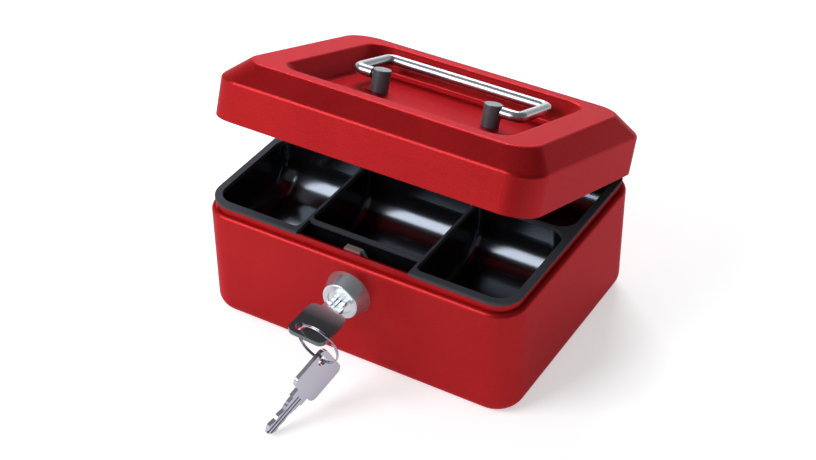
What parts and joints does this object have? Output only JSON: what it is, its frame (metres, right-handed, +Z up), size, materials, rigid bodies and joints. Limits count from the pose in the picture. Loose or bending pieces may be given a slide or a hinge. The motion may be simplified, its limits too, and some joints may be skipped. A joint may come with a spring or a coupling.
{
  "type": "cash box",
  "caption": "Small red steel cash box with a rear-hinged lid set ajar, lift-out coin tray, key lock with cam, sunk lid panel with a bail handle, and a spare key on a split ring.",
  "frame": {"origin": "centre of the flat underside of the box", "axes": "+Z up, +X to the right seen from the front, the lock faces -Y and the hinge is at +Y"},
  "size_m": [0.152, 0.1789, 0.1181],
  "materials": {
    "red_paint": "fine-grained semi-gloss powder coat",
    "black_tray": "moulded gloss black",
    "chrome": "bright chrome plate",
    "nickel": "satin nickel plate",
    "zinc": "zinc-plated steel"
  },
  "bodies": {
    "box": {"body_shell": "red_paint", "hinge_leaf_body": "red_paint", "hinge_pin": "zinc", "lock_barrel": "chrome", "lock_nut": "zinc", "cam_washer": "zinc"},
    "lid": {"lid_shell": "red_paint", "hinge_leaf_lid": "red_paint", "lid_strike": "zinc", "handle_post_left": "chrome", "handle_post_right": "chrome", "handle_screws": "zinc"},
    "handle": {"handle_bail": "chrome"},
    "tray": {"coin_tray": "black_tray"},
    "lock": {"lock_plug": "nickel", "lock_cam": "zinc", "cam_nut": "zinc"},
    "key": {"key_in_lock": "nickel"},
    "ring": {"key_ring": "nickel"},
    "spare": {"spare_key": "nickel"}
  },
  "joints": [
    {"name": "lid_hinge", "type": "hinge", "parent": "box", "child": "lid", "pos_m": [0, 0.0599, 0.05264], "axis": [-1, 0, 0], "range_deg": [-20.58, 74]},
    {"name": "bail_swing", "type": "hinge", "parent": "lid", "child": "handle", "pos_m": [0, 0.01397, 0.09788], "axis": [1, 0, 0], "range_deg": [-8, 188]},
    {"name": "tray_lift", "type": "slide", "parent": "box", "child": "tray", "axis": [0, 0, 1], "range_m": [0, 0.006]},
    {"name": "lock_turn", "type": "hinge", "parent": "box", "child": "lock", "pos_m": [-0.0009, -0.0573, 0.0383], "axis": [0, 1, 0], "range_deg": [0, 90]},
    {"name": "key_draw", "type": "slide", "parent": "lock", "child": "key", "axis": [0, -1, 0], "range_m": [0, 0.024]},
    {"name": "ring_swing", "type": "hinge", "parent": "key", "child": "ring", "pos_m": [-0.00543, -0.0868, 0.03866], "axis": [-0.5316, 0.193, -0.8247], "range_deg": [-12, 12]},
    {"name": "spare_swing", "type": "hinge", "parent": "ring", "child": "spare", "pos_m": [0.00286, -0.08483, 0.02367], "axis": [-0.9965, 0.0827, 0.0155], "range_deg": [-30, 45]}
  ]
}
